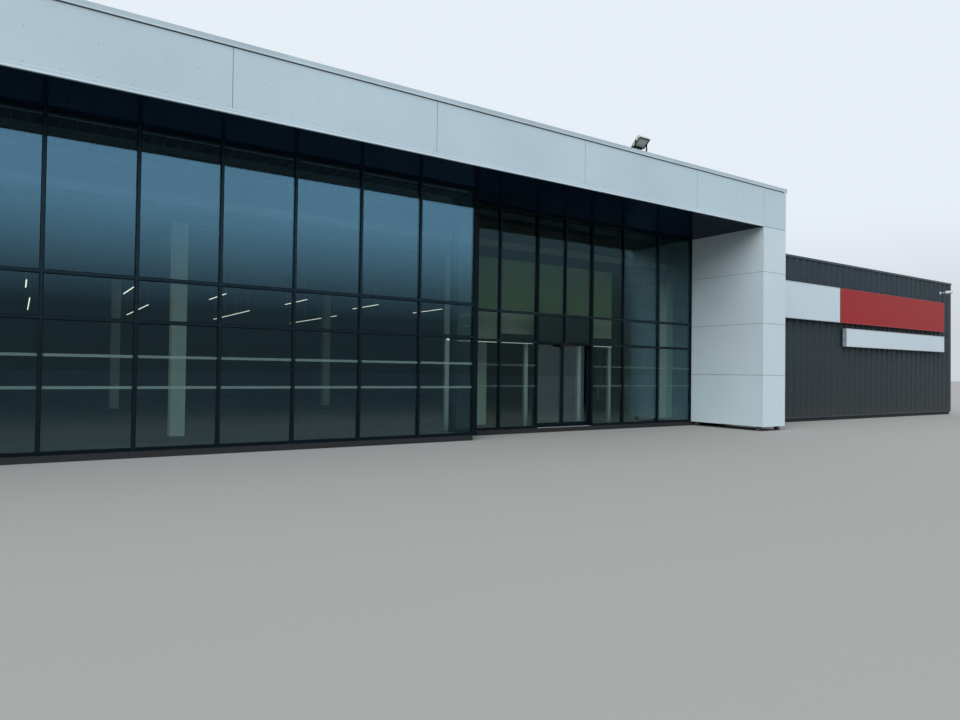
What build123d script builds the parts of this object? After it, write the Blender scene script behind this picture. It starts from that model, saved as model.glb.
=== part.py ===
from build123d import *
from math import cos, radians, sin
import os

# Supermarket building in millimetres.
# X runs to the right along the front, Y into the building, Z up.
# The origin is the middle of the footprint at ground level.

# overall plan
portal_width = 24000
wing_length = 15750
building_depth = 28000
portal_depth = 4500
glazing_setback = 1570
entrance_setback = 2550
wing_setback = 1980

# heights over the ground
slab_top = 120
soffit_level = 5920
portal_top = 7160
wall_top = 5840
roof_top = 5400
door_head = 2425
upper_transom = 3195

# shell
slab_recess = 40
wall_thickness = 150
rib_pitch = 400
rib_crown = 250
rib_slope = 20
rib_depth = 30
roof_thickness = 200
coping_overhang = 25
coping_lip = 80
coping_sheet = 30
coping_fall = 10
corner_trim_leg = 120
corner_trim_sheet = 8

# portal and its panels
pier_width = 1080
panel_thickness = 40
panel_joint = 12
course_height = 1500
side_panel_width = 2930
long_panel_width = 4000
portal_slab = 200
portal_wall = 200
portal_coping_height = 100
shadow_gap = 15
fascia_trim_height = 90
fascia_trim_proud = 6
pier_foot = 110
plank_width = 350
plank_joint = 6
plank_thickness = 25

# curtain walls
bar_width = 60
frame_depth = 120
post_flange = 20
glass_thickness = 28
glass_inset = 30
glass_clearance = 0.5
bay_width = 1430
corner_bay = 1505

# entrance bays, from the corner post to the right pier, and how many come before the two door bays
entrance_bays = [1405, 1220, 1000, 1000, 1240, 1480, 1540]
bays_before_door_count = 2

# sliding doors
leaf_thickness = 40
leaf_gap = 25
leaf_overlap = 45
stile_width = 55
bottom_rail = 110
leaf_floor_gap = 8
leaf_head_gap = 12
meeting_gap = 6
header_height = 170
header_depth = 160
header_wall = 5
rail_height = 25
leaf_rail_gap = 6
leaf_travel = 950
leaf_glass = 24
axle_radius = 8
sill_height = 6
wheel_radius = 28
wheel_width = 12
hanger_width = 30
hanger_thickness = 8
wheel_inset = 150
running_gap = 0.5

# frame behind the hall glazing
column_size = 300
column_bay = 8000
beam_height = 400
beam_flange = 200
flange_thickness = 16
web_thickness = 10
middle_row = 2200
hall_column_count = 3

# lobby box behind the entrance
lobby_panel = 80
lobby_top = 4650
lobby_bottom = 2560
lobby_setback = 520
lobby_post = 120

# plain sign boxes on the dark wall
sign_depth = 140
sign_standoff = 60
sign_low = 3600
sign_high = 4880
sign_gap = 40
sign_stud_inset = 260
sign_stud_radius = 20
white_box_start = 1200
white_box_length = 5050
red_box_length = 8350
band_low = 2730
band_high = 3410
band_inset = 400

# floodlight on the portal and arm lamp on the dark wall
floodlight_place = 17970
floodlight_width = 380
floodlight_height = 285
floodlight_depth = 80
floodlight_tilt = 50
bracket_bar = 12
bracket_width = 40
bracket_clearance = 125
bracket_foot = 50
gear_box_height = 80
gear_box_inset = 25
lamp_rim = 25
fin_pitch = 30
fin_count = 11
fin_thickness = 5
fin_height = 30
lamp_gap = 100
lamp_height = 5340
lamp_arm_length = 240
lamp_arm_radius = 14
lamp_head_length = 240
lamp_head_radius = 75
lamp_head_taper = 6
lamp_plate = 12
lamp_plate_radius = 60

# places worked out from the sizes above
total_width = portal_width + wing_length
left = -total_width / 2
right = total_width / 2
front = -building_depth / 2
back = building_depth / 2
portal_right = left + portal_width
glazing_y = front + glazing_setback
entrance_y = front + entrance_setback
wing_y = front + wing_setback
portal_back = front + portal_depth
pier_inner_left = left + pier_width
pier_inner_right = portal_right - pier_width
entrance_width = sum(entrance_bays)
corner_x = pier_inner_right - entrance_width
soffit_top = soffit_level + plank_thickness
roof_underside = roof_top - roof_thickness
coping_base = wall_top - coping_lip
portal_coping_base = portal_top - portal_coping_height
fascia_top = portal_coping_base - shadow_gap
wall_inner_back = back - wall_thickness
portal_inner_back = portal_back - portal_wall - panel_thickness
entrance_lines = [corner_x + sum(entrance_bays[:index + 1]) for index in range(len(entrance_bays))]
door_middle_line = entrance_lines[bays_before_door_count]
door_low = entrance_lines[bays_before_door_count - 1] + bar_width / 2
door_high = entrance_lines[bays_before_door_count + 1] - bar_width / 2
door_middle = (door_low + door_high) / 2
leaf_middle_y = entrance_y + frame_depth + leaf_gap + leaf_thickness / 2
header_low = door_head + bar_width / 2
left_wall_end = ((left, left + wall_thickness), (roof_top, soffit_level))
white_start = portal_right + white_box_start
red_start = white_start + white_box_length + sign_gap
red_end = red_start + red_box_length
column_lines = [left + column_bay, left + 2 * column_bay,
                portal_right - column_size / 2 - panel_thickness,
                portal_right + column_bay]


def block(x_span, y_span, z_span, mode=Mode.ADD):
    """A box between two limits on each axis, in the part being built."""
    centre = [(low + high) / 2 for low, high in (x_span, y_span, z_span)]
    size = [high - low for low, high in (x_span, y_span, z_span)]
    with Locations(tuple(centre)):
        Box(*size, mode=mode)


def bar(u_span, v_span, mode=Mode.ADD):
    """A rectangle between two limits on each axis, in the sketch being drawn."""
    with Locations(((u_span[0] + u_span[1]) / 2, (v_span[0] + v_span[1]) / 2)):
        Rectangle(u_span[1] - u_span[0], v_span[1] - v_span[0], mode=mode)


def front_plane(y):
    """A sketch plane facing the street, with X across and Z up."""
    return Plane.XZ.offset(-y)


def save(part, label):
    """Name the finished piece and write it out."""
    part.label = label
    os.makedirs("parts", exist_ok=True)
    export_step(part, f"parts/{label}.step")


# floor slab, stepped with the front
def make_floor_slab():
    outline = [
        (left + slab_recess, glazing_y),
        (corner_x - frame_depth / 2, glazing_y),
        (corner_x - frame_depth / 2, entrance_y),
        (portal_right, entrance_y),
        (portal_right, wing_y + slab_recess),
        (right - slab_recess, wing_y + slab_recess),
        (right - slab_recess, back - slab_recess),
        (left + slab_recess, back - slab_recess),
    ]
    with BuildPart() as floor_slab:
        with BuildSketch():
            with BuildLine():
                Polyline(*outline, close=True)
            make_face()
        extrude(amount=slab_top)
    save(floor_slab.part, "floor_slab")


# ribbed cladding walls
def make_ribbed_wall(label, start, direction, length, base, top):
    """A wall whose outer face carries upright ribs; local y points indoors."""
    ribs = max(1, round(length / rib_pitch))
    pitch = length / ribs
    margin = (pitch - rib_crown - 2 * rib_slope) / 2
    outline = [(0, rib_depth)]
    for index in range(ribs):
        foot = index * pitch + margin
        outline.append((foot, rib_depth))
        outline.append((foot + rib_slope, 0))
        outline.append((foot + rib_slope + rib_crown, 0))
        outline.append((foot + 2 * rib_slope + rib_crown, rib_depth))
    outline += [(length, rib_depth), (length, wall_thickness), (0, wall_thickness)]
    wall_plane = Plane(origin=(*start, base), x_dir=(*direction, 0), z_dir=(0, 0, 1))
    with BuildPart() as wall:
        with BuildSketch(wall_plane):
            with BuildLine():
                Polyline(*outline, close=True)
            make_face()
        extrude(amount=top - base)
    save(wall.part, label)


def make_walls():
    side_start = wing_y + wall_thickness
    make_ribbed_wall("wing_front_wall", (portal_right, wing_y), (1, 0),
                     right - portal_right, slab_top, wall_top - coping_sheet)
    make_ribbed_wall("right_wall", (right, side_start), (0, 1),
                     wall_inner_back - side_start, slab_top, wall_top - coping_sheet)
    make_ribbed_wall("back_wall", (right, back), (-1, 0),
                     total_width, slab_top, wall_top - coping_sheet)
    make_ribbed_wall("left_wall", (left, wall_inner_back), (0, -1),
                     wall_inner_back - portal_back, slab_top, wall_top - coping_sheet)
    make_ribbed_wall("left_front_wall", (left, portal_back), (0, -1),
                     portal_back - glazing_y - frame_depth, slab_top, soffit_level)


# corner flashings over the ends of the ribbed walls
def make_corner_trims():
    corners = [(right, wing_y, -1, 1), (right, back, -1, -1), (left, back, 1, -1)]
    with BuildPart() as corner_trims:
        for x, y, to_x, to_y in corners:
            outer = (x - to_x * corner_trim_sheet, y - to_y * corner_trim_sheet)
            with BuildSketch(Plane.XY.offset(slab_top)):
                bar(sorted((outer[0], x + to_x * corner_trim_leg)), sorted((outer[1], y)))
                bar(sorted((outer[0], x)), sorted((outer[1], y + to_y * corner_trim_leg)))
            extrude(amount=coping_base - slab_top)
    save(corner_trims.part, "corner_trims")


# flat roof inside the parapets, over the hall and the wing
def make_roof():
    split = portal_right - panel_thickness
    with BuildPart() as flat_roof:
        with BuildSketch(Plane.XY.offset(roof_underside)):
            bar((left + wall_thickness, split), (portal_inner_back, wall_inner_back))
            bar((split, right - wall_thickness), (wing_y + wall_thickness, wall_inner_back))
        extrude(amount=roof_thickness)
    save(flat_roof.part, "flat_roof")


# folded metal caps on the parapets
def coping_run(start, outward, length, depth, top, lip, sheet):
    """A straight run of coping with a slight fall to the roof and a lip outside."""
    inner = depth + coping_overhang
    section = [
        (-coping_overhang, -lip),
        (-coping_overhang, 0),
        (inner, -coping_fall),
        (inner, -sheet),
        (0, -sheet),
        (0, -lip),
    ]
    inward = Vector(-outward[0], -outward[1], 0)
    section_plane = Plane(origin=(*start, top), x_dir=inward, z_dir=inward.cross(Vector(0, 0, 1)))
    with BuildSketch(section_plane) as cap:
        with BuildLine():
            Polyline(*section, close=True)
        make_face()
    extrude(cap.sketch, amount=length)


def make_copings():
    low = (wall_thickness, wall_top, coping_lip, coping_sheet)
    inner_corner = wall_thickness + coping_overhang
    with BuildPart() as wing_coping:
        coping_run((portal_right, wing_y), (0, -1), right + coping_overhang - portal_right, *low)
    save(wing_coping.part, "wing_coping")
    with BuildPart() as back_coping:
        coping_run((right + coping_overhang, back), (0, 1), total_width + 2 * coping_overhang, *low)
    save(back_coping.part, "back_coping")
    with BuildPart() as side_copings:
        coping_run((right, wing_y + inner_corner), (1, 0), back - wing_y - 2 * inner_corner, *low)
        coping_run((left, back - inner_corner), (-1, 0), back - inner_corner - portal_back, *low)
    save(side_copings.part, "side_copings")


def make_portal_copings():
    high = (portal_wall + panel_thickness, portal_top, portal_coping_height, coping_sheet)
    inner_corner = portal_wall + panel_thickness + coping_overhang
    long_run = portal_width + 2 * coping_overhang
    side_run = portal_depth - 2 * inner_corner
    with BuildPart() as front_cap:
        coping_run((left - coping_overhang, front), (0, -1), long_run, *high)
    save(front_cap.part, "portal_front_coping")
    with BuildPart() as back_cap:
        coping_run((portal_right + coping_overhang, portal_back), (0, 1), long_run, *high)
    save(back_cap.part, "portal_back_coping")
    with BuildPart() as side_caps:
        coping_run((left, portal_back - inner_corner), (-1, 0), side_run, *high)
        coping_run((portal_right, front + inner_corner), (1, 0), side_run, *high)
    save(side_caps.part, "portal_side_copings")


# upstand walls of the portal behind its panels
def make_portal_frame():
    frame_left = left + panel_thickness
    frame_right = portal_right - panel_thickness
    frame_front = front + panel_thickness
    frame_top = portal_top - coping_sheet
    inner_front = frame_front + portal_wall
    with BuildPart() as fascia_frame:
        block((frame_left, frame_right), (frame_front, inner_front), (soffit_top, frame_top))
    save(fascia_frame.part, "fascia_frame")
    ends = [
        (frame_left, glazing_y + frame_depth, soffit_level),
        (frame_right - portal_wall, entrance_y + frame_depth, roof_underside),
    ]
    with BuildPart() as portal_end_frames:
        for x, pier_end, low in ends:
            with BuildSketch(Plane.YZ.offset(x)):
                bar((inner_front, pier_end), (soffit_top, frame_top))
                bar((pier_end, portal_inner_back), (low, frame_top))
            extrude(amount=portal_wall)
    save(portal_end_frames.part, "portal_end_frames")
    with BuildPart() as portal_back_frame:
        with BuildSketch(front_plane(portal_inner_back)):
            bar((frame_left, frame_right), (roof_top, frame_top))
            bar(*left_wall_end, Mode.SUBTRACT)
        extrude(amount=-portal_wall)
    save(portal_back_frame.part, "portal_back_frame")
    with BuildPart() as portal_roof:
        block((frame_left + portal_wall, frame_right - portal_wall),
              (inner_front, portal_inner_back), (soffit_top, soffit_top + portal_slab))
    save(portal_roof.part, "portal_roof")


# composite panels of the fascia, with open joints
def make_fascia():
    half_joint = panel_joint / 2
    inner_width = portal_width - 2 * (pier_width + side_panel_width)
    long_panels = max(1, round(inner_width / long_panel_width))
    widths = [pier_width, side_panel_width]
    widths += [inner_width / long_panels] * long_panels
    widths += [side_panel_width, pier_width]
    with BuildPart() as fascia_panels:
        with BuildSketch(front_plane(front)):
            start = left
            for width in widths:
                over_opening = pier_inner_left <= start < pier_inner_right
                low = soffit_level + (fascia_trim_height if over_opening else half_joint)
                low_u = start if start == left else start + half_joint
                end = start + width
                high_u = end if end >= portal_right - half_joint else end - half_joint
                bar((low_u, high_u), (low, fascia_top))
                start = end
        extrude(amount=-panel_thickness)
    save(fascia_panels.part, "fascia_panels")
    with BuildPart() as fascia_trim:
        block((pier_inner_left, pier_inner_right),
              (front - fascia_trim_proud, front + panel_thickness),
              (soffit_level, soffit_level + fascia_trim_height))
    save(fascia_trim.part, "fascia_trim")
    side_middle = (front + portal_back) / 2
    side_spans = [(front + panel_thickness, side_middle - half_joint),
                  (side_middle + half_joint, portal_back)]
    with BuildPart() as portal_side_panels:
        for x in (left, portal_right - panel_thickness):
            for span in side_spans:
                block((x, x + panel_thickness), span, (soffit_level + half_joint, fascia_top))
        block((portal_right - panel_thickness, portal_right),
              (wing_y + wall_thickness, portal_back), (roof_top, soffit_level - half_joint))
    save(portal_side_panels.part, "portal_side_panels")
    back_width = portal_width - 2 * panel_thickness
    panels = max(1, round(back_width / long_panel_width))
    pitch = back_width / panels
    with BuildPart() as portal_back_panels:
        with BuildSketch(front_plane(portal_back)):
            for index in range(panels):
                start = left + panel_thickness + index * pitch
                bar((start + half_joint, start + pitch - half_joint), (roof_top, fascia_top))
            bar(*left_wall_end, Mode.SUBTRACT)
        extrude(amount=panel_thickness)
    save(portal_back_panels.part, "portal_back_panels")


# soffit of narrow planks that run from the fascia to the glass
def make_soffit():
    plank_front = front + panel_thickness
    split = corner_x + frame_depth / 2
    zones = [(pier_inner_left, split, glazing_y), (split, pier_inner_right, entrance_y)]
    with BuildPart() as soffit_planks:
        for start, end, plank_back in zones:
            planks = max(1, round((end - start) / plank_width))
            pitch = (end - start) / planks
            middle = ((start + end) / 2, (plank_front + plank_back) / 2)
            with BuildSketch(Plane.XY.offset(soffit_level)):
                with Locations(middle):
                    with GridLocations(pitch, 1, planks, 1):
                        Rectangle(pitch - plank_joint, plank_back - plank_front)
            extrude(amount=plank_thickness)
    save(soffit_planks.part, "soffit_planks")


# piers of the portal: a core on short feet, wrapped in folded panels
def make_pier(side, start, plane_y, outer_end):
    """start is the pier's lower X limit; the outer leg of its panels ends at outer_end."""
    end = start + pier_width
    core_x = (start + panel_thickness, end - panel_thickness)
    core_y = (front + panel_thickness, plane_y + frame_depth)
    with BuildPart() as core:
        block(core_x, core_y, (slab_top, soffit_top))
        for x in (core_x[0], core_x[1] - pier_foot):
            for y in (core_y[0] + pier_foot, plane_y - 2 * pier_foot):
                block((x, x + pier_foot), (y, y + pier_foot), (0, slab_top))
    save(core.part, f"{side}_pier_core")
    left_end, right_end = (outer_end, core_y[1]) if side == "left" else (core_y[1], outer_end)
    outline = [
        (start, front),
        (end, front),
        (end, right_end),
        (core_x[1], right_end),
        (core_x[1], core_y[0]),
        (core_x[0], core_y[0]),
        (core_x[0], left_end),
        (start, left_end),
    ]
    half_joint = panel_joint / 2
    low = slab_top
    with BuildPart() as cladding:
        while low < soffit_level - course_height / 4:
            high = min(low + course_height, soffit_level)
            with BuildSketch(Plane.XY.offset(low + half_joint)):
                with BuildLine():
                    Polyline(*outline, close=True)
                make_face()
            extrude(amount=high - low - panel_joint)
            low = high
    save(cladding.part, f"{side}_pier_panels")


def make_piers():
    make_pier("left", left, glazing_y, glazing_y + frame_depth)
    make_pier("right", pier_inner_right, entrance_y, wing_y + wall_thickness)


# curtain walls
def centred(line, width):
    return (line - width / 2, line + width / 2)


def rail_spans(low):
    """Horizontal bars from the low rail to the head under the soffit."""
    return [low, centred(upper_transom, bar_width), (soffit_level - bar_width, soffit_top)]


def bar_grid(label, plane, uprights, rails):
    """A grid of aluminium bars that starts at the plane and goes indoors."""
    width = (uprights[0][0], uprights[-1][1])
    height = (rails[0][0], rails[-1][1])
    with BuildPart() as frame:
        with BuildSketch(plane):
            for span in uprights:
                bar(span, height)
            for span in rails:
                bar(width, span)
        extrude(amount=-frame_depth)
    save(frame.part, label)


def pane_grid(label, grids):
    """One pane of glass in each opening of each grid."""
    with BuildPart() as glass:
        for plane, uprights, rails in grids:
            with BuildSketch(plane.offset(-glass_inset)):
                for first, second in zip(uprights, uprights[1:]):
                    for lower, upper in zip(rails, rails[1:]):
                        bar((first[1] + glass_clearance, second[0] - glass_clearance),
                            (lower[1] + glass_clearance, upper[0] - glass_clearance))
            extrude(amount=-glass_thickness)
    save(glass.part, label)


def make_glazing():
    sill = (slab_top, slab_top + bar_width)
    door_rail = centred(door_head, bar_width)
    full_rails = [sill, door_rail] + rail_spans(door_rail)[1:]
    post_left, post_right = centred(corner_x, frame_depth)

    first_line = corner_x - corner_bay
    bays = max(1, round((first_line - pier_inner_left) / bay_width))
    pitch = (first_line - pier_inner_left) / bays
    uprights = [(pier_inner_left, pier_inner_left + bar_width)]
    uprights += [centred(pier_inner_left + pitch * (index + 1), bar_width) for index in range(bays)]
    uprights.append((post_left - post_flange, post_left))
    shopfront = (front_plane(glazing_y), uprights, full_rails)
    bar_grid("shopfront_frame", *shopfront)
    pane_grid("shopfront_glass", [shopfront])

    return_uprights = [(glazing_y, glazing_y + frame_depth), (entrance_y - bar_width, entrance_y)]
    corner = (Plane.YZ.offset(post_right), return_uprights, full_rails)
    bar_grid("corner_frame", *corner)
    pane_grid("corner_glass", [corner])

    entrance_plane = front_plane(entrance_y)
    left_uprights = [(post_left, post_right)]
    left_uprights += [centred(line, bar_width) for line in entrance_lines[:bays_before_door_count]]
    left_side = (entrance_plane, left_uprights, full_rails)
    bar_grid("entrance_left_frame", *left_side)
    right_lines = entrance_lines[bays_before_door_count + 1:-1]
    right_uprights = [centred(line, bar_width) for line in right_lines]
    right_uprights.append((pier_inner_right - bar_width, pier_inner_right))
    right_side = (entrance_plane, right_uprights, full_rails)
    bar_grid("entrance_right_frame", *right_side)
    pane_grid("entrance_side_glass", [left_side, right_side])
    over_uprights = [(door_low, door_low + post_flange),
                     centred(door_middle_line, bar_width),
                     (door_high - post_flange, door_high)]
    over_door = (entrance_plane, over_uprights, rail_spans(door_rail))
    bar_grid("entrance_over_frame", *over_door)
    pane_grid("entrance_over_glass", [over_door])

    with BuildPart() as door_sill:
        block((door_low, door_high), (entrance_y, entrance_y + frame_depth),
              (slab_top, slab_top + sill_height))
    save(door_sill.part, "door_sill")


# sliding doors: a header with a rail, and two leaves that hang from it on wheels
def make_door_header():
    header_front = entrance_y + frame_depth
    rail_front = leaf_middle_y + hanger_thickness / 2 + leaf_rail_gap
    header_back = header_front + header_depth
    section = [
        (header_front, header_low),
        (header_front, header_low + header_height),
        (header_back, header_low + header_height),
        (header_back, header_low),
        (rail_front, header_low),
        (rail_front, header_low + rail_height),
        (header_back - header_wall, header_low + rail_height),
        (header_back - header_wall, header_low + header_height - header_wall),
        (header_front + header_wall, header_low + header_height - header_wall),
        (header_front + header_wall, header_low),
    ]
    reach = leaf_travel + leaf_overlap + wheel_inset
    start = door_low - reach
    with BuildPart() as door_header:
        with BuildSketch(Plane.YZ.offset(start)):
            with BuildLine():
                Polyline(*section, close=True)
            make_face()
        extrude(amount=door_high + reach - start)
    save(door_header.part, "door_header")


def make_door_leaf(side, start, end):
    low = slab_top + leaf_floor_gap
    high = header_low - leaf_head_gap
    leaf_y = (leaf_middle_y - leaf_thickness / 2, leaf_middle_y + leaf_thickness / 2)
    pane_x = (start + stile_width, end - stile_width)
    pane_z = (low + bottom_rail, high - stile_width)
    wheel_z = header_low + rail_height + running_gap + wheel_radius
    wheel_front = leaf_middle_y + hanger_thickness / 2
    with BuildPart() as leaf:
        with BuildSketch(front_plane(leaf_y[0])):
            bar((start, end), (low, high))
            bar(pane_x, pane_z, Mode.SUBTRACT)
        extrude(amount=-leaf_thickness)
        for x in (start + wheel_inset, end - wheel_inset):
            block(centred(x, hanger_width), centred(leaf_middle_y, hanger_thickness),
                  (high, wheel_z + hanger_width / 2))
            with BuildSketch(front_plane(wheel_front)):
                with Locations((x, wheel_z)):
                    Circle(axle_radius)
            extrude(amount=-leaf_rail_gap)
            with BuildSketch(front_plane(wheel_front + leaf_rail_gap)):
                with Locations((x, wheel_z)):
                    Circle(wheel_radius)
            extrude(amount=-wheel_width)
    save(leaf.part, f"{side}_door_leaf")
    with BuildPart() as pane:
        block((pane_x[0] + glass_clearance, pane_x[1] - glass_clearance),
              centred(leaf_middle_y, leaf_glass),
              (pane_z[0] + glass_clearance, pane_z[1] - glass_clearance))
    save(pane.part, f"{side}_door_glass")


def make_doors():
    make_door_header()
    make_door_leaf("left", door_low - leaf_overlap, door_middle - meeting_gap / 2)
    make_door_leaf("right", door_middle + meeting_gap / 2, door_high + leaf_overlap)


# steel frame of the hall: boxed columns under the edge beam and the roof beams
def beam_section():
    """An I-section centred on its top middle."""
    flange_drop = beam_height - flange_thickness
    bar(centred(0, beam_flange), (-flange_thickness, 0))
    bar(centred(0, web_thickness), (-flange_drop, -flange_thickness))
    bar(centred(0, beam_flange), (-beam_height, -flange_drop))


def make_hall_frame():
    beam_low = roof_underside - beam_height
    edge_y = portal_inner_back + beam_flange / 2
    front_columns = column_lines[:hall_column_count]
    with BuildPart() as edge_beam:
        with BuildSketch(Plane(origin=(left + wall_thickness, edge_y, roof_underside),
                               x_dir=(0, 1, 0), z_dir=(1, 0, 0))):
            beam_section()
        extrude(amount=front_columns[-1] + beam_flange / 2 - left - wall_thickness)
    save(edge_beam.part, "edge_beam")
    with BuildPart() as roof_beams:
        for index, x in enumerate(column_lines):
            in_wing = index >= hall_column_count
            beam_start = wing_y + wall_thickness if in_wing else edge_y + beam_flange / 2
            with BuildSketch(Plane(origin=(x, beam_start, roof_underside),
                                   x_dir=(-1, 0, 0), z_dir=(0, 1, 0))):
                beam_section()
            extrude(amount=wall_inner_back - beam_start)
    save(roof_beams.part, "roof_beams")
    with BuildPart() as hall_columns:
        for y, lines in ((edge_y, front_columns), (middle_row, column_lines)):
            for x in lines:
                block(centred(x, column_size), centred(y, column_size), (slab_top, beam_low))
    save(hall_columns.part, "hall_columns")


# lobby box behind the entrance glass: panels on posts
def make_lobby():
    lobby_front = entrance_y + lobby_setback
    start = corner_x + frame_depth / 2
    end = entrance_lines[bays_before_door_count + 2]
    with BuildPart() as lobby_bulkhead:
        block((start, end), (lobby_front, lobby_front + lobby_panel), (lobby_bottom, lobby_top))
    save(lobby_bulkhead.part, "lobby_bulkhead")
    with BuildPart() as lobby_posts:
        for x in (start + lobby_post / 2, door_low, door_high, end - lobby_post / 2):
            block(centred(x, lobby_post), (lobby_front, lobby_front + lobby_panel),
                  (slab_top, lobby_bottom))
    save(lobby_posts.part, "lobby_posts")


# plain sign boxes on short studs that meet the crowns of the ribs
def nearest_crown(x):
    pitch = wing_length / max(1, round(wing_length / rib_pitch))
    first_crown = portal_right + pitch / 2
    return first_crown + round((x - first_crown) / pitch) * pitch


def sign_box(x_span, z_span):
    """A flat box in the part being built, with a stud near each corner."""
    back_y = wing_y - sign_standoff
    with BuildSketch(front_plane(back_y)) as face:
        bar(x_span, z_span)
    extrude(face.sketch, amount=sign_depth)
    with BuildSketch(front_plane(back_y)) as studs:
        for x in (x_span[0] + sign_stud_inset, x_span[1] - sign_stud_inset):
            for z in (z_span[0] + sign_stud_inset, z_span[1] - sign_stud_inset):
                with Locations((nearest_crown(x), z)):
                    Circle(sign_stud_radius)
    extrude(studs.sketch, amount=-sign_standoff)


def make_signs():
    with BuildPart() as white_sign_boxes:
        sign_box((white_start, red_start - sign_gap), (sign_low, sign_high))
        sign_box((red_start + band_inset, red_end), (band_low, band_high))
    save(white_sign_boxes.part, "white_sign_boxes")
    with BuildPart() as red_sign_box:
        sign_box((red_start, red_end), (sign_low, sign_high))
    save(red_sign_box.part, "red_sign_box")


# floodlight on the front coping
def make_floodlight():
    x = left + floodlight_place
    y = front + (portal_wall + panel_thickness) / 2
    reach = floodlight_height / 2 + bracket_clearance
    pivot = (x, y, portal_top + reach)
    arm_x = floodlight_width / 2 + bracket_bar
    cap_width = portal_wall + panel_thickness + 2 * coping_overhang
    cap_place = y - bracket_width / 2 - (front - coping_overhang)
    seat = portal_top - coping_fall * cap_place / cap_width
    with BuildPart() as floodlight_bracket:
        block(centred(x, 2 * arm_x), centred(y, bracket_width), (seat, portal_top + bracket_foot))
        for arm in (x - arm_x, x + floodlight_width / 2):
            block((arm, arm + bracket_bar), centred(y, bracket_width),
                  (portal_top, pivot[2] + bracket_width / 2))
    save(floodlight_bracket.part, "floodlight_bracket")
    tilt = radians(floodlight_tilt)
    facing = Vector(0, -cos(tilt), -sin(tilt))
    face_plane = Plane(origin=pivot, x_dir=(1, 0, 0), z_dir=facing)
    with BuildPart() as floodlight_head:
        with BuildSketch(face_plane.offset(-floodlight_depth / 2)):
            Rectangle(floodlight_width, floodlight_height)
        extrude(amount=floodlight_depth)
        with BuildSketch(face_plane.offset(floodlight_depth / 2)):
            Rectangle(floodlight_width - 2 * lamp_rim, floodlight_height - 2 * lamp_rim)
        extrude(amount=-lamp_rim / 2, mode=Mode.SUBTRACT)
        with BuildSketch(face_plane.offset(-floodlight_depth / 2)):
            with Locations((0, -(floodlight_height + gear_box_height) / 2)):
                Rectangle(floodlight_width - 2 * gear_box_inset, gear_box_height)
        extrude(amount=floodlight_depth - gear_box_inset)
        with BuildSketch(face_plane.offset(-floodlight_depth / 2)):
            with GridLocations(fin_pitch, 1, fin_count, 1):
                Rectangle(fin_thickness, floodlight_height - 2 * lamp_rim)
        extrude(amount=-fin_height)
    save(floodlight_head.part, "floodlight_head")


# small lamp on an arm just past the end of the red box
def make_wall_lamp():
    x = nearest_crown(red_end + lamp_gap)
    arm_plane = front_plane(wing_y)
    with BuildPart() as wall_lamp:
        with BuildSketch(arm_plane):
            with Locations((x, lamp_height)):
                Circle(lamp_plate_radius)
        extrude(amount=lamp_plate)
        with BuildSketch(arm_plane):
            with Locations((x, lamp_height)):
                Circle(lamp_arm_radius)
        extrude(amount=lamp_arm_length)
        with BuildSketch(arm_plane.offset(lamp_arm_length)):
            with Locations((x, lamp_height)):
                Circle(lamp_head_radius)
        extrude(amount=lamp_head_length, taper=lamp_head_taper)
    save(wall_lamp.part, "wall_lamp")


make_floor_slab()
make_walls()
make_corner_trims()
make_roof()
make_copings()
make_portal_copings()
make_portal_frame()
make_fascia()
make_soffit()
make_piers()
make_glazing()
make_doors()
make_hall_frame()
make_lobby()
make_signs()
make_floodlight()
make_wall_lamp()
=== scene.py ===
import math

import bpy
from mathutils import Matrix, Vector


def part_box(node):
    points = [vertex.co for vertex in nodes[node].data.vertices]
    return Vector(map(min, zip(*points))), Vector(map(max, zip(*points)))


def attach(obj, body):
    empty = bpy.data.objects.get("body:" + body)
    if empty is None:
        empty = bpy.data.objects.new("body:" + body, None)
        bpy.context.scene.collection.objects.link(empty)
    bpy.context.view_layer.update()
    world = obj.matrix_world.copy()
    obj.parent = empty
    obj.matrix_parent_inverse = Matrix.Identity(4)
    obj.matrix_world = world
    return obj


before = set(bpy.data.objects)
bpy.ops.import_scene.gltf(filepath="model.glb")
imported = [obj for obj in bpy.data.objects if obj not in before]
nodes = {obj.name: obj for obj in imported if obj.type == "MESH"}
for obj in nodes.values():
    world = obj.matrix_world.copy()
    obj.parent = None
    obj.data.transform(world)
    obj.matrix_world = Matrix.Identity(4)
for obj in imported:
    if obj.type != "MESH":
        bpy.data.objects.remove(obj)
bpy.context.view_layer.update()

# camera, as fitted to the building's straight edges
CAMERA_PLACE = Vector((-14.805, -26.015, 1.6))
CAMERA_YAW = math.radians(33.782)
CAMERA_PITCH = math.radians(1.015)
CAMERA_ROLL = math.radians(0.731)
SENSOR_WIDTH = 36.0
LENS = 25.93
CLIP_END = 2000

# light
SKY_HIGH = (0.80, 0.86, 0.93)
SKY_LOW = (0.62, 0.66, 0.70)
SKY_FRONT = (0.66, 0.80, 0.94)
SKY_STREET = (0.355, 0.355, 0.35)
SKY_RISE = (0.03, 0.22)
SKY_FRONT_TURN = (0.10, -0.45)
SUN_STRENGTH = 2.5
SUN_TURN = math.radians(-46)
SUN_HEIGHT = math.radians(38)
SUN_SPREAD = math.radians(55)
FLOOR_RADIUS = 420.0
FLOOR_SIDES = 96
FLOOR_COLOUR = (0.335, 0.318, 0.298)
HALL_LIGHT = 160
HALL_LIGHT_SIZE = (22, 3.4)
HALL_LIGHT_PLACE = (-8.5, -7.6)
HALL_LIGHT_DROP = 0.45

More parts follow.
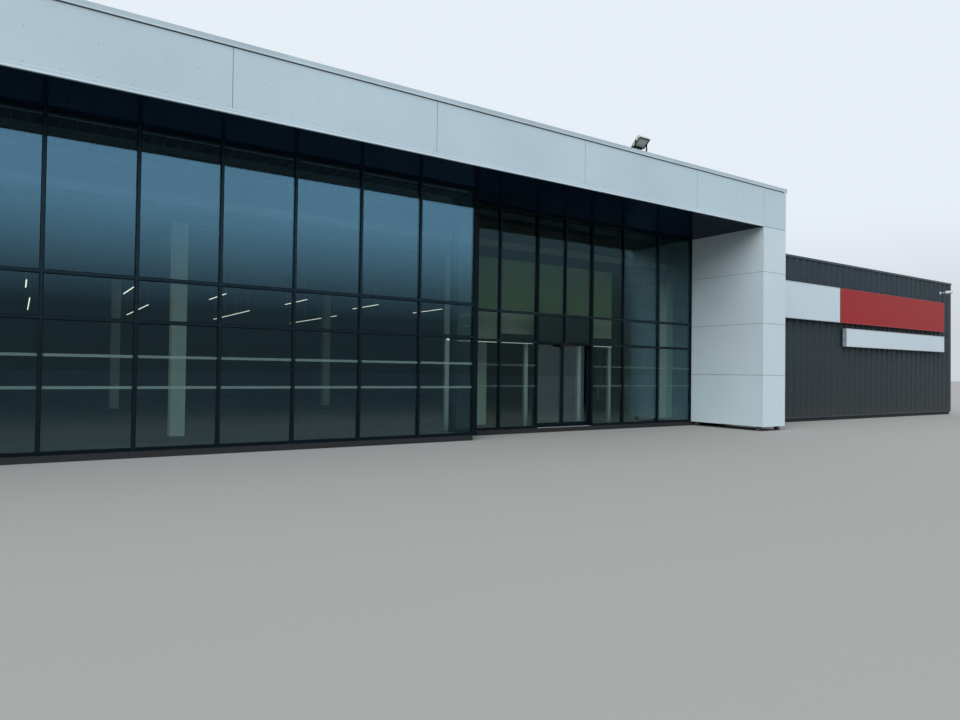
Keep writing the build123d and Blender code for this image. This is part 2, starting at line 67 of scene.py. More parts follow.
# surfaces: where noise values mostly lie, colours in common, and the tones and levels of ribbed walls
NOISE_RANGE = (0.3, 0.7)
WHITE = (0.50, 0.585, 0.615)
ROOF_GREY = (0.27, 0.285, 0.295)
FROST = (0.21, 0.31, 0.30)
BLACK_PAINT = (0.006, 0.006, 0.008)
LEDGE_DUST = (0.05, 0.05, 0.048)
WALL_TONE = (0.017, 0.028, 0.034)
WALL_FOOT = (0.023, 0.0265, 0.0265)
WALL_FOOT_SPAN = (4.2, 0.3)
WALL_DUST = (0.050, 0.047, 0.042)
WALL_DUST_SPAN = (0.7, 0.12)
VALLEY_DEPTHS = (0.004, 0.026)

# white panels and their copings
RIVET_PITCH = 0.49
RIVET_INSET = 0.06
RIVET_EDGE = 0.03
RIVET_MIDDLE = 0.53
RIVET_RADIUS = 0.008
RIVET_HEIGHT = 0.003
STRAP_PITCH = 3.0
STRAP_WIDTH = 0.07
STRAP_SHEET = 0.0015
COPING_FALL = 0.010
DRIP_EDGE = (0.022, 0.003)  # height, proud
JOINT_DEPTHS = (0.003, 0.012)
WIDEST_JOINT = 0.03
JOINT_STEP = 0.2
TRIM_BEADS = ((0.0, 0.026, 0.004), (0.066, 0.076, 0.002))  # foot, top, proud

# glazing
CAP_WIDTH = 0.044
CAP_PROUD = 0.009
RAIL_CAP_PROUD = 0.006
BEAD_WIDTH = 0.006
BEAD_DEPTH = 0.012
STRIPE_LEVELS = (1.25, 1.80)
STRIPE_HEIGHT = 0.05
STRIPE_FILM = 0.0015

# entrance doors
LEAF_BEAD_WIDTH = 0.010
LEAF_BEAD_DEPTH = 0.006
SEAL_PROUD = 0.002
SEAL_HALF = 0.012
SEAL_FLOOR_GAP = 0.01
LEAF_TOP_RAIL = 0.05
SILL_RIBS = 6
SILL_RIB_HALF = 0.003
SILL_RIB_HEIGHT = 0.0015
SILL_RIB_INSET = 0.01
SENSOR_HALF = 0.19
SENSOR_DEPTH = 0.055
SENSOR_DROP = 0.055
SENSOR_HEIGHT = 0.085
SENSOR_STEPS = 8
SENSOR_CURVE = 0.6
BOARDS_BELOW = 3.0
BOARD_DEPTHS = (0.004, 0.012)

# ribbed walls
RIB_PITCH = 0.40
RIB_DEPTH = 0.03
SCREW_LEVELS = (0.26, 1.45, 2.65, 3.85, 5.05, 5.62)
SCREW_TOP_GAP = 0.1
SCREW_RADIUS = 0.009
SCREW_HEIGHT = 0.006
SCREW_SIDES = 6
DRIP_HEIGHT = 0.05
DRIP_SHEET = 0.003

# roofs
SEAM_PITCH = 2.0
SEAM_WIDTH = 0.09
SEAM_SHEET = 0.004
DECK_PITCH = 0.245
DECK_RIB = (0.014, 0.036)  # width, depth
DECK_GAP = 0.03
DECK_SPAN = (-9.4, 13.7)
BEAM_GAP = 0.01
ROOF_INSET = 0.1
POST_GAP = 0.05
PURLIN_DEPTH = 0.14
PURLIN_FLANGE = (0.07, 0.012)  # width, sheet
PURLIN_WEB = 0.008
SHOP_PURLINS = (0.85, 2.1)
LOBBY_PURLIN = 0.42
CONDUIT = 0.022
CONDUIT_PLACE = 0.16
CONDUIT_SIDES = 12

# lights indoors; each row has its first x, pitch, count and ends
LIGHT_LEVEL = 4.3
LIGHT_SIZE = 0.034
LIGHT_TUBE = 0.012
LIGHT_ROWS = ((-17.62, 3.0, 7, -0.3, 2.3), (-18.70, 4.25, 5, 6.4, 13.4))
HANGER_RADIUS = 0.004
HANGER_SIDES = 6
HANGER_INSET = 0.3
HANGER_PITCH = 2.0
VALANCE_LEVEL = 2.40
VALANCE_SHEET = 0.03
VALANCE_LAP = 0.10
EDGE_STRIP = (0.02, 0.006, 0.045)  # inset, proud, height

# signs and lamps
SIGN_RIM = (0.03, 0.004)  # width, proud
LAMP_TILT = math.radians(50)
LAMP_FACE_HEIGHT = 0.285
LAMP_FACE_WIDTH = 0.38
LAMP_BEZEL = 0.034
BEZEL_SHEET = 0.004
BEZEL_SCREW = (0.006, 0.003)  # radius, height
BEZEL_SCREW_INSET = 0.012
LAMP_LENS_DEPTH = 0.008
LAMP_LENS_SHEET = 0.005
ARM_LENS = (0.040, 0.003)  # radius, height
ARM_COLLAR = (0.245, 0.215)  # its ends, behind the lamp's front
ARM_COLLAR_RADII = (0.030, 0.077)
ARM_SIDES = 16
ARM_PLATE = 0.012
ARM_SCREWS = 4
ARM_SCREW = (0.006, 0.004)
ARM_SCREW_RING = 0.042

# rings of a low round head, as shares of its radius and height
DOME_RINGS = ((1.0, 0.0), (0.85, 0.65), (0.4, 1.0))


# meshes

def placed(name, data):
    """A new object in the scene."""
    obj = bpy.data.objects.new(name, data)
    bpy.context.scene.collection.objects.link(obj)
    return obj


class Shape:
    """Points and faces of one piece, gathered from simple bodies."""

    def __init__(self):
        self.points = []
        self.faces = []
        self.kinds = []

    def add(self, points, faces, kind=0):
        start = len(self.points)
        self.points.extend(tuple(p) for p in points)
        self.faces.extend(tuple(start + i for i in face) for face in faces)
        self.kinds.extend([kind] * len(faces))

    def box(self, low, high, kind=0):
        x0, y0, z0 = low
        x1, y1, z1 = high
        points = [(x, y, z) for z in (z0, z1) for x, y in ((x0, y0), (x1, y0), (x1, y1), (x0, y1))]
        faces = [(3, 2, 1, 0), (4, 5, 6, 7), (0, 1, 5, 4), (1, 2, 6, 5), (2, 3, 7, 6), (3, 0, 4, 7)]
        self.add(points, faces, kind)

    def slab(self, spans):
        """A box from its two ends along each axis, in either order."""
        ends = [sorted(spans[axis]) for axis in range(3)]
        self.box([pair[0] for pair in ends], [pair[1] for pair in ends])

    def border(self, spans, width, along):
        """Four strips inside the edges of an upright slab whose level axis is along."""
        (u0, u1), (v0, v1) = spans[along], spans[2]
        inner = (u0 + width, u1 - width)
        for u, v in (((u0, u0 + width), (v0, v1)), ((u1 - width, u1), (v0, v1)),
                     (inner, (v0, v0 + width)), (inner, (v1 - width, v1))):
            self.slab({**spans, along: u, 2: v})

    def prism(self, outline, offset):
        """A flat outline carried along the vector offset."""
        count = len(outline)
        near = [Vector(p) for p in outline]
        far = [p + Vector(offset) for p in near]
        faces = [tuple(range(count - 1, -1, -1)), tuple(range(count, 2 * count))]
        for i in range(count):
            j = (i + 1) % count
            faces.append((i, j, count + j, count + i))
        self.add(near + far, faces)

    def turned(self, centre, normal, rings, sides):
        """A closed round body from rings of (radius, height) along its normal."""
        centre, axis = Vector(centre), Vector(normal).normalized()
        across = axis.orthogonal().normalized()
        up = axis.cross(across)
        points = []
        for radius, height in rings:
            for i in range(sides):
                turn = 2 * math.pi * i / sides
                way = across * math.cos(turn) + up * math.sin(turn)
                points.append(centre + way * radius + axis * height)
        last = (len(rings) - 1) * sides
        faces = [tuple(range(sides - 1, -1, -1)), tuple(range(last, last + sides))]
        for first in range(0, last, sides):
            for i in range(sides):
                j = (i + 1) % sides
                faces.append((first + i, first + j, first + sides + j, first + sides + i))
        self.add(points, faces)

    def rod(self, start, end, radius, sides, end_radius=None):
        axis = Vector(end) - Vector(start)
        tip = radius if end_radius is None else end_radius
        self.turned(start, axis, ((radius, 0.0), (tip, axis.length)), sides)

    def dome(self, centre, normal, radius, height, sides=8):
        """A low round head that stands on a surface."""
        rings = [(radius * out, height * up) for out, up in DOME_RINGS]
        self.turned(centre, normal, rings, sides)

    def build(self, name, materials):
        mesh = bpy.data.meshes.new(name)
        mesh.from_pydata(self.points, [], self.faces)
        for material in materials if isinstance(materials, list) else [materials]:
            mesh.materials.append(material)
        for polygon, kind in zip(mesh.polygons, self.kinds):
            polygon.material_index = kind
        mesh.update()
        return placed(name, mesh)

    def piece(self, name, materials, body="building"):
        obj = self.build(name, materials)
        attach(obj, body)


def joined_points(mesh):
    """The points of a mesh, in one group for each separate solid."""
    parent = {}

    def root(key):
        while parent[key] != key:
            parent[key] = parent[parent[key]]
            key = parent[key]
        return key

    keys = [tuple(round(c, 5) for c in v.co) for v in mesh.vertices]
    for key in keys:
        parent.setdefault(key, key)
    for polygon in mesh.polygons:
        first = root(keys[polygon.vertices[0]])
        for index in polygon.vertices[1:]:
            parent[root(keys[index])] = first
    groups = {}
    for key in parent:
        groups.setdefault(root(key), []).append(key)
    return groups.values()


def solids_of(node):
    """The lowest and highest corner of each separate solid of a node."""
    boxes = []
    for points in joined_points(nodes[node].data):
        low = tuple(min(p[a] for p in points) for a in range(3))
        high = tuple(max(p[a] for p in points) for a in range(3))
        boxes.append((Vector(low), Vector(high)))
    return sorted(boxes, key=lambda b: tuple(b[0]))


def outer_face(low, high, axis, outward):
    """Where a box's face stands on its outward side."""
    return high[axis] if outward > 0 else low[axis]


def spot(values):
    """A point from its place along each axis."""
    return tuple(values[axis] for axis in range(3))


def grid_steps(low, high, pitch):
    """Even places from one end to the other, about a pitch apart."""
    span = high - low
    count = max(1, round(span / pitch))
    return [low + span * i / count for i in range(count + 1)]


# materials

class NodeTree:
    """Shader nodes built up step by step; their pattern follows one kind of coordinate."""

    def __init__(self, tree, coordinate):
        self.tree = tree
        self.place = tree.nodes.new("ShaderNodeTexCoord").outputs[coordinate]

    def node(self, kind, inputs=None, **settings):
        made = self.tree.nodes.new(kind)
        for key, value in settings.items():
            setattr(made, key, value)
        for key, value in (inputs or {}).items():
            self.feed(made.inputs[key], value)
        return made

    def feed(self, socket, value):
        if isinstance(value, bpy.types.NodeSocket):
            self.tree.links.new(value, socket)
        elif isinstance(value, tuple) and len(value) == 3 and socket.type == "RGBA":
            socket.default_value = (*value, 1.0)
        else:
            socket.default_value = value

    def noise(self, scale, detail=3.0, stretch=None, rough=0.5):
        place = self.place
        if stretch:
            place = self.node("ShaderNodeMapping", {"Vector": place, "Scale": stretch}).outputs[0]
        inputs = {"Vector": place, "Scale": scale, "Detail": detail, "Roughness": rough}
        return self.node("ShaderNodeTexNoise", inputs).outputs["Fac"]

    def spread(self, value, low, high, to_low=0.0, to_high=1.0):
        inputs = {"Value": value, "From Min": low, "From Max": high, "To Min": to_low, "To Max": to_high}
        return self.node("ShaderNodeMapRange", inputs).outputs[0]

    def step(self, value, low, high):
        """A smooth step from 0 to 1 between two values."""
        inputs = {"Value": value, "From Min": low, "From Max": high}
        return self.node("ShaderNodeMapRange", inputs, interpolation_type="SMOOTHSTEP").outputs[0]

    def even(self, *noise, to_low=0.0, to_high=1.0):
        """Noise that fills the range between two values."""
        return self.spread(self.noise(*noise), *NOISE_RANGE, to_low, to_high)

    def around(self, middle, below, above, *noise):
        """Noise that goes from a little below a value to a little above it."""
        return self.even(*noise, to_low=middle - below, to_high=middle + above)

    def blend(self, share, first, second):
        made = self.node("ShaderNodeMix", data_type="RGBA", blend_type="MIX")
        self.feed(made.inputs[0], share)
        self.feed(made.inputs[6], first)
        self.feed(made.inputs[7], second)
        return made.outputs[2]

    def tones(self, colour, dark, light, *noise):
        """A colour that drifts between a darker and a lighter shade of itself."""
        return self.blend(self.even(*noise), shade(colour, dark), shade(colour, light))

    def sums(self, kind, first, second=0.0):
        made = self.node("ShaderNodeMath", operation=kind)
        self.feed(made.inputs[0], first)
        self.feed(made.inputs[1], second)
        return made.outputs[0]

    def times(self, first, second):
        return self.sums("MULTIPLY", first, second)

    def axis(self, name):
        return self.node("ShaderNodeSeparateXYZ", {0: self.place}).outputs[name]

    def facing(self, name):
        normal = self.node("ShaderNodeNewGeometry").outputs["True Normal"]
        return self.node("ShaderNodeSeparateXYZ", {0: normal}).outputs[name]

    def bump(self, height, distance, strength=1.0, under=None):
        inputs = {"Height": height, "Distance": distance, "Strength": strength}
        if under is not None:
            inputs["Normal"] = under
        return self.node("ShaderNodeBump", inputs).outputs[0]


class Surface(NodeTree):
    """A material whose pattern follows the piece's own metres."""

    def __init__(self, name):
        self.material = bpy.data.materials.new(name)
        self.material.use_nodes = True
        self.material.node_tree.nodes.clear()
        super().__init__(self.material.node_tree, "Object")
        self.output = self.node("ShaderNodeOutputMaterial")

    def finish(self, **inputs):
        shader = self.node("ShaderNodeBsdfPrincipled")
        for key, value in inputs.items():
            self.feed(shader.inputs[key.replace("_", " ")], value)
        self.tree.links.new(shader.outputs[0], self.output.inputs[0])
        return self.material

    def mix_shaders(self, share, first, second):
        mixed = self.node("ShaderNodeMixShader", {0: share, 1: first.outputs[0], 2: second.outputs[0]})
        self.tree.links.new(mixed.outputs[0], self.output.inputs[0])
        return self.material


def shade(colour, factor):
    return tuple(c * factor for c in colour)


def coated_panel(name, colour, gloss=0.42, streaks=0.06):
    """Smooth coated sheet with slight waves, faint runs of rain and a soft change of tone."""
    s = Surface(name)
    base = s.tones(colour, 0.95, 1.05, 0.35, 3)
    runs = s.spread(s.noise(2.2, 5, (2.6, 2.6, 0.18), 0.6), 0.52, 0.75, 0.0, streaks)
    base = s.blend(runs, base, shade(colour, 0.62))
    base = s.blend(s.even(140, 2, to_high=0.05), base, shade(colour, 0.8))
    rough = s.around(gloss, 0.05, 0.07, 1.7, 4)
    wave = s.bump(s.noise(0.9, 1), 0.02, 0.35)
    peel = s.bump(s.noise(260, 2), 0.0006, 0.3, wave)
    return s.finish(Base_Color=base, Roughness=rough, Normal=peel, Specular_IOR_Level=0.45)


def folded_cap(name, colour, gloss=0.38):
    """Folded coping sheet with rolling marks along it and dust on top."""
    s = Surface(name)
    base = s.tones(colour, 0.9, 1.1, 0.8, 4)
    dust = s.times(s.spread(s.facing("Z"), 0.5, 1.0), s.spread(s.noise(5, 5), 0.4, 0.75, 0.0, 0.4))
    base = s.blend(dust, base, shade(colour, 1.25))
    rough = s.around(gloss, 0.05, 0.1, 6, 3)
    wave = s.bump(s.noise(3, 2), 0.004, 0.3)
    return s.finish(Base_Color=base, Roughness=rough, Normal=wave)


def cladding(name, axis, sign, plane):
    """Ribbed dark sheet: the hollows between ribs painted lighter to cancel the shade that falls in them,
    runs of rain, and dust that gathers towards the base.
    """
    s = Surface(name)
    height = s.axis("Z")
    base = s.tones(WALL_TONE, 0.9, 1.12, 0.5, 3)
    base = s.blend(s.spread(height, *WALL_FOOT_SPAN), base, WALL_FOOT)
    outward = s.times(s.axis(axis), float(sign))
    painted_light_valleys = s.spread(outward, *[plane * sign - depth for depth in VALLEY_DEPTHS])
    # painted light: a lighter tone blended into the rib hollows cancels the shade that falls in them
    base = s.blend(s.times(painted_light_valleys, 0.7), base, shade(WALL_TONE, 1.35))
    runs = s.spread(s.noise(3.0, 5, (3.0, 3.0, 0.12), 0.6), 0.45, 0.75, 0.0, 0.25)
    base = s.blend(runs, base, shade(WALL_TONE, 1.5))
    splash = s.times(s.spread(height, *WALL_DUST_SPAN), s.even(6, 5, to_low=0.1, to_high=0.5))
    base = s.blend(splash, base, WALL_DUST)
    rough = s.even(4, 4, to_low=0.42, to_high=0.58)
    grain = s.bump(s.noise(220, 2), 0.0008, 0.3)
    return s.finish(Base_Color=base, Roughness=rough, Normal=grain, Specular_IOR_Level=0.22)


def powder_coat(name, colour, gloss=0.36, specular=0.35, sheen=(1.0, 1.0, 1.0), painted_reflection_heights=None):
    """Powder coat with a fine orange peel and a little dust on ledges.

    sheen tints its gloss; the last argument gives the heights between which the colour deepens, a painted
    reflection: darker low down as if mirroring the ground, full colour high up as if mirroring the sky.
    """
    s = Surface(name)
    base = s.tones(colour, 0.85, 1.2, 1.2, 3)
    if painted_reflection_heights:
        # painted reflection: the colour deepens towards black low down and stays full high up
        base = s.blend(s.spread(s.axis("Z"), *painted_reflection_heights), shade(colour, 0.12), base)
    dust = s.spread(s.noise(9, 4), 0.35, 0.7, 0.1, 0.4)
    ledge = s.times(s.spread(s.facing("Z"), 0.6, 1.0), dust)
    base = s.blend(ledge, base, LEDGE_DUST)
    rough = s.around(gloss, 0.06, 0.08, 7, 3)
    peel = s.bump(s.noise(350, 2), 0.0005, 0.35)
    return s.finish(Base_Color=base, Roughness=rough, Normal=peel, Specular_IOR_Level=specular,
                    Specular_Tint=sheen)


def soffit_planks(name):
    """Dark satin planks with fine lines along them."""
    s = Surface(name)
    tone = s.even(1.0, 3, (2.0, 0.2, 1.0))
    base = s.blend(tone, (0.0019, 0.0070, 0.0185), (0.0034, 0.0104, 0.0250))
    rough = s.even(8, 3, (6, 0.4, 1), to_low=0.05, to_high=0.12)
    lines = s.bump(s.noise(60, 2, (1.0, 0.05, 1.0)), 0.0002, 0.15)
    return s.finish(Base_Color=base, Roughness=rough, Normal=lines, Specular_IOR_Level=0.012)


def pane_glass(name, tint, mirror, least, painted_reflection_rise=None):
    """Coated double glazing: lets tinted light through and mirrors a cool part of it.

    the last argument gives an axis, where the coat starts and ends to grow along it, and its least share: a
    painted reflection, more mirror where bright reflections are seen, not a change in the glass.
    """
    s = Surface(name)
    cloud = s.even(0.6, 3)
    pane = s.node("ShaderNodeNewGeometry").outputs["Random Per Island"]
    clear = s.node("ShaderNodeBsdfTransparent")
    s.feed(clear.inputs[0], s.blend(cloud, shade(tint, 0.96), tint))
    mirrored = s.node("ShaderNodeBsdfGlossy", {"Roughness": 0.01})
    coat = s.blend(pane, shade(mirror, 0.92), mirror)
    s.feed(mirrored.inputs[0], s.blend(cloud, shade(mirror, 0.94), coat))
    facing = s.node("ShaderNodeLayerWeight", {"Blend": 0.5}).outputs["Facing"]
    # painted reflection: the mirror share grows along an axis, standing in for reflections seen there
    if painted_reflection_rise:
        axis, start, end, thin = painted_reflection_rise
        least = s.spread(s.axis(axis), start, end, thin, least)
    share = s.spread(s.sums("POWER", facing, 5.0), 0.0, 1.0, least, 1.0)
    return s.mix_shaders(share, clear, mirrored)


def film(name, colour, cover):
    """Frosted film that hides part of what is behind it."""
    s = Surface(name)
    paint = s.node("ShaderNodeBsdfDiffuse")
    s.feed(paint.inputs[0], s.blend(s.even(90, 3), shade(colour, 0.9), colour))
    clear = s.node("ShaderNodeBsdfTransparent")
    return s.mix_shaders(s.around(cover, 0.04, 0.04, 30, 3), clear, paint)


def brushed_metal(name, colour):
    s = Surface(name)
    lines = s.noise(160, 3, (1.0, 1.0, 0.04))
    base = s.blend(s.spread(lines, *NOISE_RANGE), shade(colour, 0.88), shade(colour, 1.06))
    rough = s.even(5, 4, to_low=0.32, to_high=0.46)
    return s.finish(Base_Color=base, Roughness=rough, Normal=s.bump(lines, 0.0004, 0.3), Metallic=0.85)


def concrete(name):
    s = Surface(name)
    base = s.blend(s.even(0.8, 6, None, 0.6), (0.10, 0.10, 0.097), (0.15, 0.15, 0.144))
    pores = s.spread(s.noise(38, 5), 0.56, 0.66, 0.0, 0.6)
    base = s.blend(pores, base, (0.09, 0.09, 0.088))
    # painted shade: upright faces of the slab are darkened almost to black, standing in for the shade along
    # the foot of the walls
    edge = s.times(s.spread(s.facing("Z"), 0.9, 0.2), 0.95)
    base = s.blend(edge, base, (0.010, 0.011, 0.012))
    rough = s.even(12, 4, to_low=0.6, to_high=0.85)
    grit = s.bump(s.noise(70, 5), 0.002, 0.5)
    return s.finish(Base_Color=base, Roughness=rough, Normal=grit, Specular_IOR_Level=0.3)


def membrane(name, colour, painted_shade_underside=None):
    """Roofing sheet with water marks and a slight grain; the lower face may be painted darker, as painted
    shade under the roof.
    """
    s = Surface(name)
    base = s.tones(colour, 0.82, 1.1, 0.3, 5, None, 0.6)
    marks = s.spread(s.noise(0.9, 6, None, 0.7), 0.55, 0.68, 0.0, 0.45)
    base = s.blend(marks, base, shade(colour, 0.6))
    if painted_shade_underside:
        # painted shade: faces turned downwards are darkened, standing in for the shade under the roof
        base = s.blend(s.spread(s.facing("Z"), -0.4, -0.6), base, painted_shade_underside)
    grain = s.bump(s.noise(120, 3), 0.0012, 0.4)
    return s.finish(Base_Color=base, Roughness=0.82, Normal=grain, Specular_IOR_Level=0.25)


def primed_steel(name, colour):
    s = Surface(name)
    base = s.tones(colour, 0.8, 1.15, 2.5, 5)
    rough = s.even(9, 4, to_low=0.5, to_high=0.7)
    return s.finish(Base_Color=base, Roughness=rough, Normal=s.bump(s.noise(80, 4), 0.001, 0.4))


def painted_board(name, colour, joint=1.2, lower=None):
    """Painted boards with a fine joint at each course; lower gives a height and the colour below it."""
    s = Surface(name)
    base = s.tones(colour, 0.93, 1.05, 1.1, 4)
    if lower:
        base = s.blend(s.sums("LESS_THAN", s.axis("Z"), lower[0]), base, lower[1])
    course = s.sums("FRACT", s.sums("DIVIDE", s.axis("Z"), joint))
    line = s.times(s.sums("LESS_THAN", course, 0.008), 0.6)
    base = s.blend(line, base, shade(colour, 0.4))
    rough = s.even(6, 3, to_low=0.5, to_high=0.62)
    return s.finish(Base_Color=base, Roughness=rough, Normal=s.bump(s.noise(240, 2), 0.0005, 0.3))


def sign_face(name, face, edge):
    """Plain acrylic face with darker returns and a soft change of tone across it."""
    s = Surface(name)
    front = s.tones(face, 0.975, 1.02, 0.7, 2)
    side = s.tones(edge, 0.85, 1.1, 8, 4)
    base = s.blend(s.spread(s.facing("Y"), -0.8, -0.6), front, side)
    rough = s.even(3, 3, to_low=0.34, to_high=0.40)
    peel = s.bump(s.noise(240, 2), 0.0003, 0.2)
    return s.finish(Base_Color=base, Roughness=rough, Normal=peel, Specular_IOR_Level=0.2)


def rubber(name, colour):
    s = Surface(name)
    base = s.tones(colour, 0.8, 1.2, 20, 4)
    return s.finish(Base_Color=base, Roughness=0.65, Normal=s.bump(s.noise(300, 2), 0.0004, 0.4))


def tube_light(name, colour, strength):
    """An opal cover that glows, with a soft change of tone."""
    s = Surface(name)
    glow = s.blend(s.even(3, 2), shade(colour, 0.92), colour)
    return s.finish(Base_Color=glow, Roughness=0.4, Emission_Color=glow, Emission_Strength=strength)


def lamp_casting(name, centre, up, half):
    """Bare aluminium fins and body, with the gear box below the face painted black."""
    s = Surface(name)
    lift = s.node("ShaderNodeVectorMath", {0: s.place, 1: tuple(up)}, operation="DOT_PRODUCT")
    edge = centre.dot(up) - half
    below = s.spread(lift.outputs["Value"], edge + 0.001, edge - 0.001)
    body = s.blend(s.even(12, 4), (0.30, 0.31, 0.31), (0.42, 0.43, 0.43))
    base = s.blend(below, body, BLACK_PAINT)
    rough = s.even(30, 3, to_low=0.4, to_high=0.55)
    return s.finish(Base_Color=base, Roughness=rough, Normal=s.bump(s.noise(180, 3), 0.0005, 0.3))


def lamp_lens(name):
    """A pale lens over a grid of small light sources."""
    s = Surface(name)
    cells = s.node("ShaderNodeTexVoronoi", {"Vector": s.place, "Scale": 28.0, "Randomness": 0.0})
    dot = s.spread(cells.outputs["Distance"], 0.25, 0.4)
    base = s.blend(dot, (0.46, 0.47, 0.38), (0.30, 0.33, 0.30))
    return s.finish(Base_Color=base, Roughness=0.22, Normal=s.bump(dot, 0.002, 0.3), Coat_Weight=0.5)


# looks of the pieces

panel = coated_panel("white_panel", WHITE)
fascia_panel = coated_panel("fascia_panel", (0.424, 0.520, 0.562))
trim_sheet = coated_panel("fascia_trim_sheet", (0.435, 0.528, 0.570), 0.35, 0.03)
# painted highlight: these beads are lighter than the trim sheet, standing in for light caught along its
# edges
painted_highlight_bead = coated_panel("painted_highlight_bead", (0.56, 0.645, 0.685), 0.3, 0.02)
joint_grey = coated_panel("joint_grey", (0.15, 0.18, 0.195), 0.5, 0.02)
portal_cap = folded_cap("portal_cap", (0.375, 0.455, 0.485))
portal_strap = folded_cap("portal_strap", (0.40, 0.48, 0.515))
# painted highlight: the drip edge is lighter than the coping, standing in for light caught along its lower
# edge
drip_edge = folded_cap("drip_edge", (0.47, 0.54, 0.56))
dark_cap = folded_cap("dark_cap", (0.022, 0.034, 0.046), 0.34)
black_frame = powder_coat("black_frame", (0.0016, 0.0058, 0.0092), 0.34, 0.09)
# painted reflection: the caps darken towards the bottom, as if low bars mirrored the ground and high bars
# the sky
cap_slate = powder_coat("cap_slate", (0.0072, 0.0180, 0.0275), 0.30, 0.34, (0.5, 0.85, 1.0), (2.0, 4.2))
bead_black = powder_coat("bead_black", (0.003, 0.004, 0.006), 0.42, 0.2)
soffit = soffit_planks("soffit")
# painted reflection: the shopfront mirrors more with height, the entrance panes more towards the right
glazing = pane_glass("glazing", (0.76, 0.83, 0.80), (0.41, 0.77, 1.0), 0.20, ("Z", 2.7, 4.7, 0.04))
entrance_pane = pane_glass("entrance_glazing", (0.76, 0.83, 0.78), (0.50, 0.80, 0.90), 0.12,
                           ("X", 0.0, 0.9, 0.03))
door_pane = pane_glass("door_pane", (0.80, 0.86, 0.83), (0.60, 0.84, 0.95), 0.08)
galvanised = primed_steel("galvanised", (0.12, 0.16, 0.20))
deck_steel = primed_steel("deck_steel", (0.075, 0.10, 0.135))
# painted shade: a darker copy of the deck steel for the entrance bay, standing in for the deeper shade there
lobby_shaded_steel = primed_steel("lobby_shaded_steel", (0.045, 0.068, 0.105))
pipe_steel = primed_steel("pipe_steel", (0.44, 0.53, 0.58))
backing = powder_coat("backing_board", (0.004, 0.005, 0.007), 0.5, 0.2)
frosted = film("frosted_film", FROST, 0.42)
faint_film = film("faint_film", FROST, 0.14)
silver = brushed_metal("silver", (0.52, 0.545, 0.555))
floor_concrete = concrete("concrete")
roofing = membrane("roofing", ROOF_GREY)
# painted shade: the portal roof's lower face is dark, standing in for the shade beneath it
portal_roofing = membrane("portal_roofing", ROOF_GREY, (0.013, 0.021, 0.031))
steel = primed_steel("structure", (0.045, 0.048, 0.052))
column_paint = painted_board("column", (0.48, 0.52, 0.50))
bulkhead_paint = painted_board("bulkhead", (0.128, 0.170, 0.083), 1.05, (3.30, (0.25, 0.25, 0.22)))
white_sign = sign_face("white_sign", (0.505, 0.575, 0.61), (0.24, 0.28, 0.31))
red_sign = sign_face("red_sign", (0.295, 0.0125, 0.014), (0.13, 0.008, 0.010))
white_rim = coated_panel("white_rim", (0.39, 0.44, 0.47), 0.3, 0.02)
red_rim = coated_panel("red_rim", (0.28, 0.024, 0.024), 0.3, 0.02)
lamp_black = powder_coat("lamp_black", BLACK_PAINT, 0.4, 0.15)
lamp_white = coated_panel("lamp_white", (0.62, 0.66, 0.69), 0.3, 0.02)
seal_rubber = rubber("seal_rubber", (0.012, 0.012, 0.013))
tube = tube_light("tube_cover", (1.0, 0.93, 0.82), 2.0)
strip = tube_light("strip_cover", (0.92, 1.0, 0.93), 0.7)
lens = lamp_lens("lamp_lens")

# the floodlight's tilted face, and the plane of each ribbed wall
lamp_low, lamp_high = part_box("floodlight_head")
lamp_face = Vector((0.0, -math.cos(LAMP_TILT), -math.sin(LAMP_TILT)))
lamp_up = Vector((0.0, -math.sin(LAMP_TILT), math.cos(LAMP_TILT)))
lamp_points = [v.co for v in nodes["floodlight_head"].data.vertices]
lamp_front = max(p.dot(lamp_face) for p in lamp_points)
lamp_top = max(p.dot(lamp_up) for p in lamp_points)
lamp_centre = (Vector(((lamp_low.x + lamp_high.x) / 2, 0, 0)) + lamp_face * lamp_front
               + lamp_up * (lamp_top - LAMP_FACE_HEIGHT / 2))

wing_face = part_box("wing_front_wall")[0].y
left_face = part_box("left_wall")[0].x
WALLS = {
    "wing_front_wall": ("Y", -1, wing_face),
    "right_wall": ("X", 1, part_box("right_wall")[1].x),
    "back_wall": ("Y", 1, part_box("back_wall")[1].y),
    "left_wall": ("X", -1, left_face),
    "left_front_wall": ("X", -1, left_face),
}
LOOKS = (
    (floor_concrete, "floor_slab"),
    (dark_cap, "corner_trims wing_coping side_copings back_coping"),
    (roofing, "flat_roof"),
    (portal_cap, "portal_front_coping portal_back_coping portal_side_copings"),
    (steel, "fascia_frame portal_end_frames portal_back_frame left_pier_core right_pier_core"),
    (steel, "edge_beam roof_beams"),
    (portal_roofing, "portal_roof"),
    (fascia_panel, "fascia_panels portal_side_panels portal_back_panels"),
    (trim_sheet, "fascia_trim"),
    (soffit, "soffit_planks"),
    (panel, "left_pier_panels right_pier_panels"),
    (black_frame, "shopfront_frame corner_frame entrance_left_frame entrance_right_frame"),
    (black_frame, "entrance_over_frame door_header left_door_leaf right_door_leaf"),
    (glazing, "shopfront_glass"),
    (entrance_pane, "corner_glass entrance_side_glass entrance_over_glass"),
    (door_pane, "left_door_glass right_door_glass"),
    (silver, "door_sill lobby_posts"),
    (column_paint, "hall_columns"),
    (bulkhead_paint, "lobby_bulkhead"),
    (white_sign, "white_sign_boxes"),
    (red_sign, "red_sign_box"),
    (lamp_black, "floodlight_bracket"),
    (lamp_casting("lamp_casting", lamp_centre, lamp_up, LAMP_FACE_HEIGHT / 2), "floodlight_head"),
    (lamp_white, "wall_lamp"),
)
look_of = {name: material for material, names in LOOKS for name in names.split()}
for wall, (axis, sign, plane) in WALLS.items():
    look_of[wall] = cladding(wall, axis, sign, plane)

